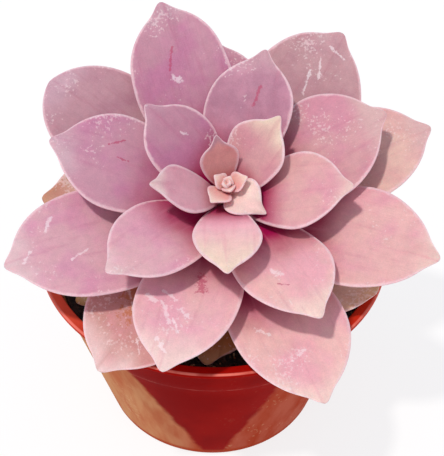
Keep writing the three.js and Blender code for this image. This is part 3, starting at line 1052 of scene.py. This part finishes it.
grit_skin, tree, shader = plain_surface("grit")
tone = value_of(tree, "tone")
colour = mix(tree, fade(tree, tone, 0.0, 0.55), paint(30, 17, 11), paint(70, 44, 30))
colour = mix(tree, fade(tree, tone, 0.62, 0.75), colour, paint(150, 108, 76))
colour = mix(tree, fade(tree, tone, 0.93, 0.97), colour, paint(200, 170, 128))
mottle = noise(tree, object_place(tree), 1200.0)
colour = mix(tree, 1.0, colour, fade(tree, mottle, 0.25, 0.75, 0.7, 1.3), "MULTIPLY")
dress(tree, shader, colour, fade(tree, mottle, 0.3, 0.7, 0.8, 0.95), mottle, GRIT_RELIEF)
grit.data.materials.append(grit_skin)

# %% [markdown]
# The pot is dark red moulded plastic, thin, and smooth where no tan is painted on it. A tan
# painted reflection of the sunlit ground lies over it, except in wedges that narrow downwards,
# which are painted shadow. The wedge's edge on each height is a straight rule on the angle from
# the front, made a little ragged by noise, and the wedge comes again every third of the way
# round, with less painted reflection behind.

# %% Pot colours and limits
# The wedges are painted shadow; the tan around them is painted reflection of sunlit ground.
WEDGE_EVERY = 120
LEFT_AT_FOOT, LEFT_PER_MM = -2.8, -0.476
RIGHT_AT_FOOT, RIGHT_PER_MM = 5.8, 0.4
WEDGE_RAGGED = 3.0
WEDGE_EDGE = (-2.0, 1.5)
PAINTED_REFLECTION_TOP = (67.5, 66.0)
PAINTED_REFLECTION_BEHIND = (-0.01, 0.03, 1.0, 0.6)
PAINTED_REFLECTION_STRENGTH = 0.95
SLANT = (60.0, 60.0, 12.0)
PLASTIC_REDS = paint(134, 2, 2), paint(150, 8, 4)
LEFT_REFLECTION_TANS = paint(206, 146, 102), paint(190, 108, 72)
RIGHT_REFLECTION_TANS = paint(186, 92, 70), paint(172, 64, 38)
# The last two colours here are painted highlights on the lip's outer edge and on the ledge.
RUSTY_FOOT, PAINTED_EDGE_HIGHLIGHT, PAINTED_LEDGE_HIGHLIGHT = paint(172, 62, 32), paint(238, 128, 112), paint(226, 120, 100)
# Lip colours: painted shade at the front, painted light on the right and on the sunlit left.
SHADED_LIP, LIT_RIGHT_LIP, SUNLIT_LEFT_LIP = paint(160, 14, 8), paint(200, 50, 30), paint(224, 86, 62)
DUST_TAN = paint(215, 170, 130)
SMOOTH_PLASTIC, MATT_PLASTIC = 0.16, 0.6
PLASTIC_IOR = 1.04
STREAK_RELIEF = 0.0002

# %% Pot plastic: where the painted reflection and the painted shadow lie
pot_plastic, tree, shader = plain_surface("pot plastic")
place = object_place(tree)
axes = add(tree, "ShaderNodeSeparateXYZ", {0: place}).outputs
height_mm = times(tree, axes[2], 1000.0)
# The sunlit left gets the paler painted reflection and the brighter painted light on the lip.
sunlit_left = fade(tree, axes[0], 0.004, -0.022)

angle = calculate(tree, "ARCTAN2", axes[0], times(tree, axes[1], -1.0))
angle = times(tree, angle, math.degrees(1))
ragged = noise(tree, place, 130.0, detail=4.0, roughness=0.6)
angle = calculate(tree, "ADD", angle, centred(tree, ragged, WEDGE_RAGGED))
in_third = calculate(tree, "WRAP", angle, WEDGE_EVERY / 2, -WEDGE_EVERY / 2)
left = calculate(tree, "MULTIPLY_ADD", height_mm, LEFT_PER_MM, LEFT_AT_FOOT)
right = calculate(tree, "MULTIPLY_ADD", height_mm, RIGHT_PER_MM, RIGHT_AT_FOOT)
past_left = fade(tree, calculate(tree, "SUBTRACT", in_third, left), *WEDGE_EDGE)
short_of_right = fade(tree, calculate(tree, "SUBTRACT", right, in_third), *WEDGE_EDGE)
# Painted shadow inside the wedge, painted reflection outside it and below the lip.
painted_shadow_wedge = times(tree, past_left, short_of_right)
painted_reflection = times(tree, calculate(tree, "SUBTRACT", 1.0, painted_shadow_wedge), fade(tree, height_mm, *PAINTED_REFLECTION_TOP))
painted_reflection = times(tree, painted_reflection, fade(tree, axes[1], *PAINTED_REFLECTION_BEHIND))

# %% [markdown]
# The painted reflection runs in streaks, thick and pale on the sunlit left and thin and rusty on
# the right. The foot is rusty all round. The lip has painted light at its left and right and
# painted shade at its front. Its outer edge carries a pale painted highlight, and so does the
# ledge here and there.

# %% Pot plastic: painted reflection, painted light and shade on the lip, painted highlights
streaks = noise(tree, of_vectors(tree, "MULTIPLY", place, SLANT), 2.4)
streaky = fade(tree, streaks, 0.35, 0.7)
# Painted reflection colours: pale tan on the sunlit left, rusty on the right.
reflection_tans = mix(tree, sunlit_left, mix(tree, streaky, *RIGHT_REFLECTION_TANS), mix(tree, streaky, *LEFT_REFLECTION_TANS))
plastic = mix(tree, fade(tree, noise(tree, place, 50.0), 0.35, 0.65), *PLASTIC_REDS)
colour = mix(tree, times(tree, painted_reflection, PAINTED_REFLECTION_STRENGTH), plastic, reflection_tans)
foot = fade(tree, height_mm, 4.5, 2.5)
colour = mix(tree, times(tree, foot, 0.8), colour, RUSTY_FOOT)
# Painted shade at the lip's front, painted light at its left and right.
lit_flanks = fade(tree, axes[1], -0.054, -0.03)
lip_light_and_shade = mix(tree, lit_flanks, SHADED_LIP, mix(tree, sunlit_left, LIT_RIGHT_LIP, SUNLIT_LEFT_LIP))
colour = mix(tree, fade(tree, height_mm, 66.5, 68.0), colour, lip_light_and_shade)
flat_mm = of_vectors(tree, "MULTIPLY", place, (1000.0, 1000.0, 0.0))
# A pale painted highlight along the lip's outer top edge, broken by noise.
outer_edge = fade(tree, of_vectors(tree, "LENGTH", flat_mm), LIP_RADIUS - 0.9, LIP_RADIUS - 0.5)
top_edge = fade(tree, height_mm, POT_HEIGHT - 0.6, POT_HEIGHT - 0.25)
highlight_breakup = noise(tree, place, 90.0, detail=4.0, roughness=0.6)
edge_highlight_mask = times(tree, times(tree, outer_edge, top_edge), fade(tree, highlight_breakup, 0.3, 0.6, 0.35, 0.9))
colour = mix(tree, edge_highlight_mask, colour, PAINTED_EDGE_HIGHLIGHT)
# A pale painted highlight along the ledge here and there.
below, above = fade(tree, height_mm, 54.2, 54.7), fade(tree, height_mm, 55.5, 55.0)
ledge_highlight_mask = times(tree, times(tree, below, above), fade(tree, streaks, 0.45, 0.6, 0.0, 0.45))
colour = mix(tree, ledge_highlight_mask, colour, PAINTED_LEDGE_HIGHLIGHT)

# %% [markdown]
# The plastic is matt where the painted reflection lies and smooth elsewhere, so that mask also
# sets the roughness. A low index of refraction keeps the pale floor's reflection from veiling the
# red.

# %% Pot plastic: dust and finish
dust = use(tree, speckle, Place=place, Grain=700.0, Patch=50.0, Amount=0.35)["Mask"]
# Dust specks, sparse in the painted shadow and denser in the painted reflection.
dust = times(tree, dust, fade(tree, painted_reflection, 0.0, 1.0, 0.03, 0.35))
colour = mix(tree, dust, colour, DUST_TAN)
matt = fade(tree, painted_reflection, 0.0, 1.0, SMOOTH_PLASTIC, MATT_PLASTIC)
dress(tree, shader, colour, matt, times(tree, streaks, painted_reflection), STREAK_RELIEF)
shader.inputs["IOR"].default_value = PLASTIC_IOR
pot.data.materials.append(pot_plastic)
print("materials:", len(bpy.data.materials))

# %% [markdown]
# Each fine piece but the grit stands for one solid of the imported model, which is then hidden.
# Every piece takes a material slot, and as nothing moves, all of them ride the one body.

# %% Fasten the pieces to the solids they stand for
for n, leaf in enumerate(leaves):
    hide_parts(f"leaf_{n:02d}")
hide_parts("shoot_tip")
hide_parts("stem")
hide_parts("pot")
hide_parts("soil")
for piece in [*leaves, bud, stem, pot, soil, grit]:
    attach(piece, "root")

# %% [markdown]
# The light is a high soft sun from the front left, a little warm, and an even sky, a little
# blue, so what lies in shadow still shows its colour. The floor gives off a little light of
# its own, which keeps the shadow on it faint, as on a photographer's white table.

# %% Floor and light
FLOOR_REACH = 5000
FLOOR_GLOW = 0.8
SUN_FROM = Vector((-0.3, -0.27, 0.92))
SUN_STRENGTH = 1.8
SUN_SPREAD = math.radians(4)
SUN_COLOUR = (1.0, 0.95, 0.88)
SKY_STRENGTH = 0.55
SKY_COLOUR = (0.94, 0.95, 1.12, 1)
corners = FLOOR_REACH * np.array([[-1, -1, 0], [1, -1, 0], [1, 1, 0], [-1, 1, 0]])
floor = make_piece("floor", corners, [[0, 1, 2, 3]])
white_table, tree, shader = plain_surface("white table")
shader.inputs["Base Color"].default_value = paint(120, 120, 120)
shader.inputs["Roughness"].default_value = 0.9
shader.inputs["Emission Color"].default_value = (1, 1, 1, 1)
shader.inputs["Emission Strength"].default_value = FLOOR_GLOW
floor.data.materials.append(white_table)

world = bpy.data.worlds.new("studio")
scene.world = world
world.use_nodes = True
sky = world.node_tree.nodes["Background"]
sky.inputs["Color"].default_value = SKY_COLOUR
sky.inputs["Strength"].default_value = SKY_STRENGTH
sun = bpy.data.objects.new("sun", bpy.data.lights.new("sun", "SUN"))
scene.collection.objects.link(sun)
sun.rotation_mode = "QUATERNION"
sun.rotation_quaternion = SUN_FROM.to_track_quat("Z", "Y")
sun.data.energy = SUN_STRENGTH
sun.data.color = SUN_COLOUR
sun.data.angle = SUN_SPREAD
print("sun:", SUN_STRENGTH, "sky:", SKY_STRENGTH)
scene.view_settings.view_transform = "Standard"
